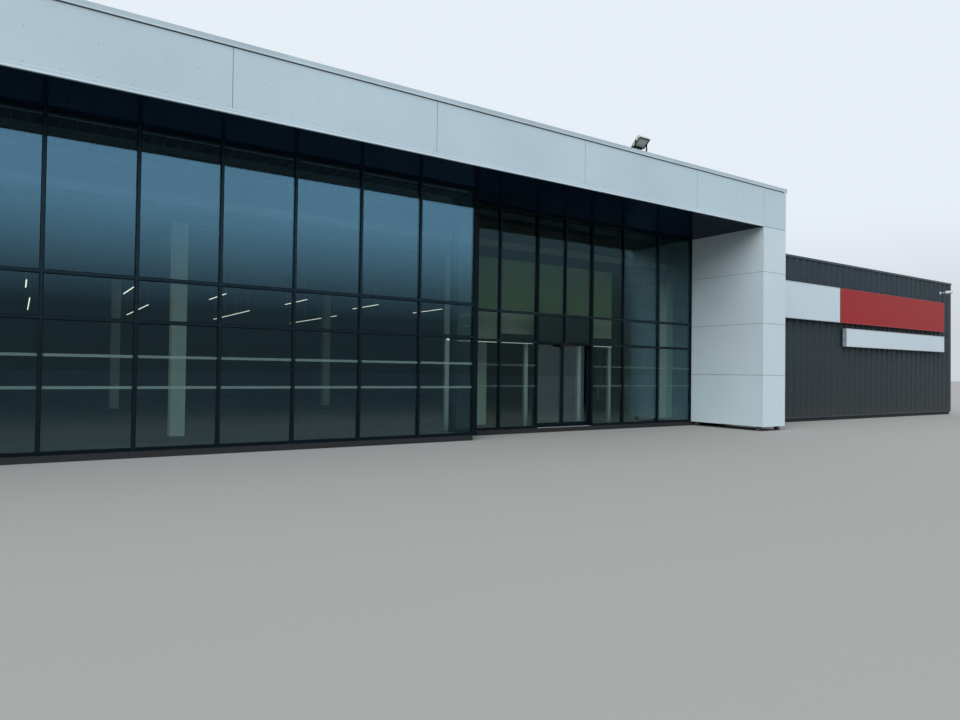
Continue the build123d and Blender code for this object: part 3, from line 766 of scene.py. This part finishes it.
for name, obj in nodes.items():
    if not obj.material_slots:
        obj.data.materials.append(look_of[name])
    for material_slot in obj.material_slots:
        material_slot.material = look_of[name]


# fixings of the white panels

def rivet_rows(shape, box, outward, u_axis):
    """Rivets on a flat face, in two rows along u_axis: by its lower edge and about half way up."""
    low, high = box
    across = 1 - u_axis
    face = outer_face(low, high, across, outward)
    normal = spot({across: outward, u_axis: 0.0, 2: 0.0})
    for u in grid_steps(low[u_axis] + RIVET_INSET, high[u_axis] - RIVET_INSET, RIVET_PITCH):
        for z in (low.z + RIVET_EDGE, low.z + (high.z - low.z) * RIVET_MIDDLE):
            shape.dome(spot({u_axis: u, across: face, 2: z}), normal, RIVET_RADIUS, RIVET_HEIGHT)


rivets = Shape()
for box in solids_of("fascia_panels"):
    rivet_rows(rivets, box, -1, 0)
for box in solids_of("portal_back_panels"):
    rivet_rows(rivets, box, 1, 0)
portal_roof_low, portal_roof_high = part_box("portal_roof")
portal_middle = (portal_roof_low.x + portal_roof_high.x) / 2
for box in solids_of("portal_side_panels"):
    rivet_rows(rivets, box, -1 if box[0].x < portal_middle else 1, 1)
# painted shade: the heads are much darker than the panel, standing in for the small shadow each one casts
rivets.piece("panel_rivets", coated_panel("rivet_heads", shade(WHITE, 0.30), 0.4, 0.0))


# straps and drip edges of the copings; a run is (node box, outward, along axis)

def coping_straps(name, material, runs):
    """Thin straps that follow the section of each coping."""
    shape = Shape()
    t = STRAP_SHEET
    for (low, high), outward, along in runs:
        across = 1 - along
        outer = outer_face(low, high, across, outward)
        inner = outer_face(low, high, across, -outward)
        top = high.z
        fall = top - COPING_FALL
        section = [
            (outer + outward * t, low.z), (outer + outward * t, top + t), (inner, fall + t),
            (inner, fall - t), (outer - outward * t, top - t), (outer - outward * t, low.z),
        ]
        for middle in grid_steps(low[along], high[along], STRAP_PITCH)[1:-1]:
            start = middle - STRAP_WIDTH / 2
            outline = [spot({across: a, along: start, 2: z}) for a, z in section]
            shape.prism(outline, spot({across: 0.0, along: STRAP_WIDTH, 2: 0.0}))
    shape.piece(name, material)


def coping_drip_edges(name, material, runs):
    """A folded edge that stands a little proud along the foot of each coping."""
    shape = Shape()
    height, proud = DRIP_EDGE
    for (low, high), outward, along in runs:
        across = 1 - along
        outer = outer_face(low, high, across, outward)
        shape.slab({along: (low[along], high[along]), across: (outer, outer + outward * proud),
                    2: (low.z, low.z + height)})
    shape.piece(name, material)


portal_sides = solids_of("portal_side_copings")
portal_runs = [
    (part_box("portal_front_coping"), -1, 0),
    (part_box("portal_back_coping"), 1, 0),
    (portal_sides[0], -1, 1),
    (portal_sides[1], 1, 1),
]
wall_sides = solids_of("side_copings")
wall_runs = [
    (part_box("wing_coping"), -1, 0),
    (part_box("back_coping"), 1, 0),
    (wall_sides[0], -1, 1),
    (wall_sides[1], 1, 1),
]
coping_straps("portal_coping_straps", portal_strap, portal_runs)
coping_drip_edges("portal_drip_edges", drip_edge, portal_runs)
wall_strap = folded_cap("wall_strap", (0.030, 0.044, 0.058), 0.32)
coping_straps("wall_coping_straps", wall_strap, wall_runs)


# screws and drip sheets of the ribbed walls

screws = Shape()
drips = Shape()
for wall, (axis, sign, plane) in WALLS.items():
    low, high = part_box(wall)
    along = 0 if axis == "Y" else 1
    across = 1 - along
    normal = spot({across: sign, along: 0.0, 2: 0.0})
    levels = [z for z in SCREW_LEVELS if z <= high.z - SCREW_TOP_GAP]
    for u in grid_steps(low[along], high[along], RIB_PITCH)[1:-1]:
        for z in levels:
            centre = spot({along: u, across: plane - sign * RIB_DEPTH, 2: z})
            screws.dome(centre, normal, SCREW_RADIUS, SCREW_HEIGHT, SCREW_SIDES)
    drips.slab({along: (low[along], high[along]), across: (plane, plane + sign * DRIP_SHEET),
                2: (low.z, low.z + DRIP_HEIGHT)})
screws.piece("cladding_screws", powder_coat("screw_heads", (0.030, 0.036, 0.042), 0.4))
drips.piece("wall_drips", dark_cap)


# caps, beads and frosted bands of the glazing

def bar_lines(panes, axis):
    """The middle line of each bar between neighbouring panes, along one axis."""
    ends = {tuple(round(corner[axis], 4) for corner in pane) for pane in panes}
    spans = []
    for low, high in sorted(ends):
        if not spans or low >= spans[-1][1]:
            spans.append((low, high))
    return [(first[1] + second[0]) / 2 for first, second in zip(spans, spans[1:])]


def dress_grid(caps, beads, panes, box, outward, along):
    """Cover caps on the bars of a grid, and beads round each of its panes."""
    across = 1 - along
    low, high = box
    face = outer_face(low, high, across, outward)
    half = CAP_WIDTH / 2
    for u in bar_lines(panes, along):
        caps.slab({along: (u - half, u + half), across: (face, face + outward * CAP_PROUD),
                   2: (low.z, high.z)})
    for z in bar_lines(panes, 2):
        caps.slab({along: (low[along], high[along]), across: (face, face + outward * RAIL_CAP_PROUD),
                   2: (z - half, z + half)})
    for pane_low, pane_high in panes:
        outer = outer_face(pane_low, pane_high, across, outward)
        beads.border({along: (pane_low[along], pane_high[along]),
                      across: (outer, outer + outward * BEAD_DEPTH),
                      2: (pane_low.z, pane_high.z)}, BEAD_WIDTH, along)


def stripes(shape, panes, outward, along):
    """A frosted band at each level that a pane reaches."""
    across = 1 - along
    for low, high in panes:
        outer = outer_face(low, high, across, outward)
        for level in STRIPE_LEVELS:
            if low.z < level < high.z:
                shape.slab({along: (low[along] + BEAD_WIDTH, high[along] - BEAD_WIDTH),
                            across: (outer, outer + outward * STRIPE_FILM),
                            2: (level - STRIPE_HEIGHT / 2, level + STRIPE_HEIGHT / 2)})


shop_panes = solids_of("shopfront_glass")
corner_panes = solids_of("corner_glass")
side_panes = solids_of("entrance_side_glass")
over_panes = solids_of("entrance_over_glass")
shop_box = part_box("shopfront_frame")
corner_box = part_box("corner_frame")
entrance_left_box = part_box("entrance_left_frame")
entrance_right_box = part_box("entrance_right_frame")
over_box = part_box("entrance_over_frame")
left_side_panes = [p for p in side_panes if p[0].x < entrance_left_box[1].x]
right_side_panes = [p for p in side_panes if p[0].x > entrance_left_box[1].x]
caps = Shape()
beads = Shape()
for panes, box, outward, along in ((shop_panes, shop_box, -1, 0), (corner_panes, corner_box, 1, 1),
                                   (left_side_panes, entrance_left_box, -1, 0),
                                   (right_side_panes, entrance_right_box, -1, 0),
                                   (over_panes, over_box, -1, 0)):
    dress_grid(caps, beads, panes, box, outward, along)
caps.piece("mullion_caps", cap_slate)
beads.piece("glazing_beads", bead_black)
bands = Shape()
stripes(bands, shop_panes, -1, 0)
stripes(bands, corner_panes, 1, 1)
bands.piece("frosted_bands", frosted)
side_bands = Shape()
stripes(side_bands, side_panes, -1, 0)
side_bands.piece("entrance_bands", faint_film)


# entrance doors

def dress_leaf(side, toward):
    """Beads round a door leaf's glass on both faces, and a seal along its meeting edge."""
    body = f"{side}_door"
    leaf_low, leaf_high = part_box(f"{side}_door_leaf")
    pane_low, pane_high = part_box(f"{side}_door_glass")
    trim = Shape()
    for depths in ((pane_low.y - LEAF_BEAD_DEPTH, pane_low.y), (pane_high.y, pane_high.y + LEAF_BEAD_DEPTH)):
        trim.border({0: (pane_low.x, pane_high.x), 1: depths, 2: (pane_low.z, pane_high.z)},
                    LEAF_BEAD_WIDTH, 0)
    trim.piece(f"{side}_door_beads", seal_rubber, body)
    seal = Shape()
    meeting = outer_face(leaf_low, leaf_high, 0, toward)
    middle = (pane_low.y + pane_high.y) / 2
    seal.slab({0: (meeting, meeting + toward * SEAL_PROUD), 1: (middle - SEAL_HALF, middle + SEAL_HALF),
               2: (leaf_low.z + SEAL_FLOOR_GAP, pane_high.z + LEAF_TOP_RAIL)})
    seal.piece(f"{side}_door_seal", seal_rubber, body)


dress_leaf("left", 1)
dress_leaf("right", -1)

sill_low, sill_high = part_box("door_sill")
sill_ribs = Shape()
for i in range(SILL_RIBS):
    y = sill_low.y + (sill_high.y - sill_low.y) * (i + 0.5) / SILL_RIBS
    sill_ribs.slab({0: (sill_low.x + SILL_RIB_INSET, sill_high.x - SILL_RIB_INSET),
                    1: (y - SILL_RIB_HALF, y + SILL_RIB_HALF),
                    2: (sill_high.z, sill_high.z + SILL_RIB_HEIGHT)})
sill_ribs.piece("sill_ribs", silver)


# presence sensor on the transom, and dark boards behind the panes above the door

door_middle = (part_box("left_door_leaf")[1].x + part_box("right_door_leaf")[0].x) / 2
front = over_box[0].y
sensor_level = over_box[0].z - SENSOR_DROP
outline = []
for i in range(SENSOR_STEPS + 1):
    turn = math.pi * i / SENSOR_STEPS
    bulge = SENSOR_DEPTH * math.sin(turn) ** SENSOR_CURVE
    outline.append((door_middle - SENSOR_HALF * math.cos(turn), front - bulge, sensor_level))
sensor = Shape()
sensor.prism(outline, (0, 0, SENSOR_HEIGHT))
sensor.piece("door_sensor", lamp_black)
boards = Shape()
for low, high in over_panes:
    if low.z < BOARDS_BELOW:
        boards.slab({0: (low.x, high.x), 1: [high.y + depth for depth in BOARD_DEPTHS], 2: (low.z, high.z)})
boards.piece("transom_boards", backing)


# strips in the joints of the panels, and beads along the fascia's lower trim, lighter than the sheet as
# painted highlights

def joint_strips(shape, node, across, outward):
    """A strip in each gap between neighbouring panels; the gaps run up or along."""
    along = 1 - across
    panels = solids_of(node)
    for low, high in panels:
        face = outer_face(low, high, across, outward)
        depths = [face - outward * depth for depth in JOINT_DEPTHS]
        for other_low, other_high in panels:
            for way, side in ((along, 2), (2, along)):
                gap = other_low[way] - high[way]
                if not 0 < gap < WIDEST_JOINT or abs(other_low[side] - low[side]) > JOINT_STEP:
                    continue
                span = (max(low[side], other_low[side]), min(high[side], other_high[side]))
                if span[1] > span[0]:
                    shape.slab({way: (high[way], other_low[way]), side: span, across: depths})


strips = Shape()
for node, across, outward in (("fascia_panels", 1, -1), ("portal_back_panels", 1, 1),
                              ("right_pier_panels", 1, -1), ("right_pier_panels", 0, -1),
                              ("left_pier_panels", 1, -1), ("left_pier_panels", 0, 1)):
    joint_strips(strips, node, across, outward)
strips.piece("panel_joint_strips", joint_grey)
trim_low, trim_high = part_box("fascia_trim")
trim_beads = Shape()
for start, end, proud in TRIM_BEADS:
    trim_beads.slab({0: (trim_low.x, trim_high.x), 1: (trim_low.y - proud, trim_low.y),
                     2: (trim_low.z + start, trim_low.z + end)})
trim_beads.piece("fascia_trim_beads", painted_highlight_bead)


# roofs: laps of the membrane

def roof_laps(shape, low, high, start_of):
    """Laps a pitch apart that run back over a roof from start_of(x)."""
    for x in grid_steps(low.x, high.x, SEAM_PITCH)[1:-1]:
        shape.box((x, start_of(x), high.z), (x + SEAM_WIDTH, high.y, high.z + SEAM_SHEET))


roof_low, roof_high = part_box("flat_roof")
portal_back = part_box("portal_back_panels")[1].y
portal_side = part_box("portal_side_panels")[1].x
seams = Shape()
roof_laps(seams, roof_low, roof_high, lambda x: roof_low.y if x > portal_side else portal_back)
roof_laps(seams, portal_roof_low, portal_roof_high, lambda x: portal_roof_low.y)
seams.piece("roof_seams", membrane("roof_lap", (0.30, 0.315, 0.325)))


# lights indoors

roof_under = roof_low.z
lights = Shape()
hangers = Shape()
for first, pitch, count, y0, y1 in LIGHT_ROWS:
    for x in (first + pitch * i for i in range(count)):
        x0, x1 = x - LIGHT_SIZE / 2, x + LIGHT_SIZE / 2
        top = LIGHT_LEVEL + LIGHT_SIZE
        lights.box((x0, y0, LIGHT_LEVEL), (x1, y1, LIGHT_LEVEL + LIGHT_TUBE), 1)
        lights.box((x0, y0, LIGHT_LEVEL + LIGHT_TUBE), (x1, y1, top))
        for y in grid_steps(y0 + HANGER_INSET, y1 - HANGER_INSET, HANGER_PITCH):
            hangers.rod((x, y, top), (x, y, roof_under), HANGER_RADIUS, HANGER_SIDES)
lights.piece("ceiling_lights", [lamp_white, tube])
hangers.piece("light_hangers", silver)


# steel under the roofs: ribs of the deck, purlins and a conduit

rib_width, rib_depth = DECK_RIB
portal_under = portal_roof_low.z
deck_under = portal_under - rib_depth
back_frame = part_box("portal_back_frame")[0].y
shop_back = shop_box[1].y
entrance_back = entrance_right_box[1].y
shop_span = (portal_roof_low.x + ROOF_INSET, corner_box[0].x - POST_GAP)
lobby_span = (corner_box[1].x + POST_GAP, portal_roof_high.x - ROOF_INSET)
deck = Shape()
lobby_roof = Shape()
rib_count = round((portal_roof_high.x - portal_roof_low.x) / DECK_PITCH)
for i in range(1, rib_count):
    x = portal_roof_low.x + (portal_roof_high.x - portal_roof_low.x) * i / rib_count
    over_shop = x < corner_box[0].x - rib_width
    bay, start = (deck, shop_back) if over_shop else (lobby_roof, entrance_back)
    bay.box((x - rib_width / 2, start + DECK_GAP, deck_under), (x + rib_width / 2, back_frame, portal_under))
edges = [roof_low.x + ROOF_INSET]
for low, high in solids_of("roof_beams"):
    edges += [low.x - BEAM_GAP, high.x + BEAM_GAP]
edges.append(roof_high.x - ROOF_INSET)
deck_front, deck_back = DECK_SPAN
for start, end in zip(edges[::2], edges[1::2]):
    for i in range(round((deck_back - deck_front) / DECK_PITCH)):
        y = deck_front + DECK_PITCH * i
        deck.box((start, y, roof_under - rib_depth), (end, y + rib_width, roof_under))
deck.piece("roof_deck_ribs", deck_steel)


def purlin(shape, span, y):
    """A steel section below the deck, with a flange at its top and foot."""
    width, flange = PURLIN_FLANGE
    foot = deck_under - PURLIN_DEPTH
    for z0, z1, wide in ((deck_under - flange, deck_under, width), (foot, deck_under, PURLIN_WEB),
                         (foot, foot + flange, width)):
        shape.box((span[0], y - wide / 2, z0), (span[1], y + wide / 2, z1))


purlins = Shape()
for place in SHOP_PURLINS:
    purlin(purlins, shop_span, shop_back + place)
purlin(lobby_roof, lobby_span, entrance_back + LOBBY_PURLIN)
purlins.piece("portal_purlins", galvanised)
lobby_roof.piece("lobby_roof_steel", lobby_shaded_steel)
pipe = Shape()
pipe_ends = [(x, shop_back + CONDUIT_PLACE, deck_under - CONDUIT / 2) for x in shop_span]
pipe.rod(*pipe_ends, CONDUIT / 2, CONDUIT_SIDES)
pipe.piece("portal_conduit", pipe_steel)


# valance and light strip of the lobby bulkhead

bulk_low, bulk_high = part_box("lobby_bulkhead")
valance_face = bulk_low.y - VALANCE_SHEET
valance = Shape()
valance.box((bulk_low.x, valance_face, VALANCE_LEVEL), (bulk_high.x, bulk_low.y, bulk_low.z + VALANCE_LAP))
valance.piece("lobby_valance", bulkhead_paint)
inset, proud, height = EDGE_STRIP
edge = Shape()
edge.box((bulk_low.x + inset, valance_face - proud, VALANCE_LEVEL),
         (bulk_high.x - inset, valance_face, VALANCE_LEVEL + height))
edge.piece("lobby_edge_strip", strip)


# rims of the signs

def sign_rims(name, node, material):
    shape = Shape()
    width, proud = SIGN_RIM
    for low, high in solids_of(node):
        shape.border({0: (low.x, high.x), 1: (low.y - proud, low.y), 2: (low.z, high.z)}, width, 0)
    shape.piece(name, material)


sign_rims("white_sign_rims", "white_sign_boxes", white_rim)
sign_rims("red_sign_rim", "red_sign_box", red_rim)


# floodlight: bezel, its screws and the lens

def lamp_point(u, v, depth):
    return lamp_centre + Vector((u, 0, 0)) + lamp_up * v + lamp_face * depth


def lamp_plate(shape, u0, u1, v0, v1, depth, sheet):
    """A flat plate on the lamp's face."""
    corners = [lamp_point(u, v, depth) for u, v in ((u0, v0), (u1, v0), (u1, v1), (u0, v1))]
    shape.prism(corners, lamp_face * sheet)


bezel = Shape()
half_width, half_height = LAMP_FACE_WIDTH / 2, LAMP_FACE_HEIGHT / 2
inner_width, inner_height = half_width - LAMP_BEZEL, half_height - LAMP_BEZEL
for u0, u1, v0, v1 in ((-half_width, half_width, inner_height, half_height),
                       (-half_width, half_width, -half_height, -inner_height),
                       (-half_width, -inner_width, -inner_height, inner_height),
                       (inner_width, half_width, -inner_height, inner_height)):
    lamp_plate(bezel, u0, u1, v0, v1, 0, BEZEL_SHEET)
screw_u, screw_v = half_width - BEZEL_SCREW_INSET, half_height - BEZEL_SCREW_INSET
for u in (-screw_u, 0, screw_u):
    for v in (-screw_v, screw_v):
        bezel.dome(lamp_point(u, v, BEZEL_SHEET), lamp_face, *BEZEL_SCREW)
bezel.piece("floodlight_bezel", lamp_black)
lamp_window = Shape()
lamp_plate(lamp_window, -inner_width, inner_width, -inner_height, inner_height, -LAMP_LENS_DEPTH,
           LAMP_LENS_SHEET)
lamp_window.piece("floodlight_lens", lens)


# arm lamp on the wall: lens, collar and screws

arm_low, arm_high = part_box("wall_lamp")
lamp_x = (arm_low.x + arm_high.x) / 2
lamp_z = (arm_low.z + arm_high.z) / 2
nose = Shape()
nose.dome((lamp_x, arm_low.y, lamp_z), (0, -1, 0), *ARM_LENS, ARM_SIDES)
nose.piece("wall_lamp_lens", lens)
collar = Shape()
collar_ends = [(lamp_x, arm_low.y + place, lamp_z) for place in ARM_COLLAR]
collar.rod(*collar_ends, ARM_COLLAR_RADII[0], ARM_SIDES, end_radius=ARM_COLLAR_RADII[1])
for i in range(ARM_SCREWS):
    turn = math.pi / ARM_SCREWS * (2 * i + 1)
    place = (lamp_x + ARM_SCREW_RING * math.cos(turn), wing_face - ARM_PLATE,
             lamp_z + ARM_SCREW_RING * math.sin(turn))
    collar.dome(place, (0, -1, 0), *ARM_SCREW)
collar.piece("wall_lamp_collar", lamp_white)


# floor, light and camera

def make_floor():
    s = Surface("studio_floor")
    base = s.tones(FLOOR_COLOUR, 0.98, 1.02, 0.05, 2)
    material = s.finish(Base_Color=base, Roughness=0.9, Specular_IOR_Level=0.1)
    points = [(0.0, 0.0, 0.0)]
    for i in range(FLOOR_SIDES):
        turn = 2 * math.pi * i / FLOOR_SIDES
        points.append((FLOOR_RADIUS * math.cos(turn), FLOOR_RADIUS * math.sin(turn), 0.0))
    floor = Shape()
    floor.add(points, [(0, i + 1, (i + 1) % FLOOR_SIDES + 1) for i in range(FLOOR_SIDES)])
    floor.build("studio_floor", material)


make_floor()


world = bpy.data.worlds.new("studio")
bpy.context.scene.world = world
world.use_nodes = True
sky = NodeTree(world.node_tree, "Generated")
front_side = sky.step(sky.axis("Y"), *SKY_FRONT_TURN)
high_sky = sky.blend(front_side, SKY_HIGH, SKY_FRONT)
low_sky = sky.blend(front_side, SKY_LOW, SKY_STREET)
rise = sky.step(sky.axis("Z"), *SKY_RISE)
background = world.node_tree.nodes["Background"]
sky.feed(background.inputs["Color"], sky.blend(rise, low_sky, high_sky))


def direction_of(turn, height):
    """The level direction at a turn from +Y, raised by a height angle."""
    level = math.cos(height)
    return Vector((math.sin(turn) * level, math.cos(turn) * level, math.sin(height)))


hall = bpy.data.lights.new("hall_light", "AREA")
hall.shape = "RECTANGLE"
hall.size, hall.size_y = HALL_LIGHT_SIZE
hall.energy = HALL_LIGHT
hall_object = placed("hall_light", hall)
hall_object.location = (*HALL_LIGHT_PLACE, roof_under - HALL_LIGHT_DROP)
hall_object.visible_camera = False
hall_object.visible_glossy = False
hall_object.visible_transmission = False

sun = bpy.data.lights.new("sun", "SUN")
sun.energy = SUN_STRENGTH
sun.angle = SUN_SPREAD
sun_object = placed("sun", sun)
sun_object.rotation_mode = "QUATERNION"
sun_object.rotation_quaternion = direction_of(-SUN_TURN, -SUN_HEIGHT).to_track_quat("-Z", "Y")

camera = bpy.data.cameras.new("camera")
camera.sensor_width = SENSOR_WIDTH
camera.lens = LENS
camera.clip_end = CLIP_END
camera_object = placed("camera", camera)
forward = direction_of(CAMERA_YAW, CAMERA_PITCH)
level_right = Vector((math.cos(CAMERA_YAW), -math.sin(CAMERA_YAW), 0.0))
level_up = level_right.cross(forward)
right = level_right * math.cos(CAMERA_ROLL) + level_up * math.sin(CAMERA_ROLL)
up = level_up * math.cos(CAMERA_ROLL) - level_right * math.sin(CAMERA_ROLL)
turn = Matrix((right, up, -forward)).transposed().to_4x4()
camera_object.matrix_world = Matrix.Translation(CAMERA_PLACE) @ turn
bpy.context.scene.camera = camera_object

bpy.context.scene.view_settings.view_transform = "Standard"
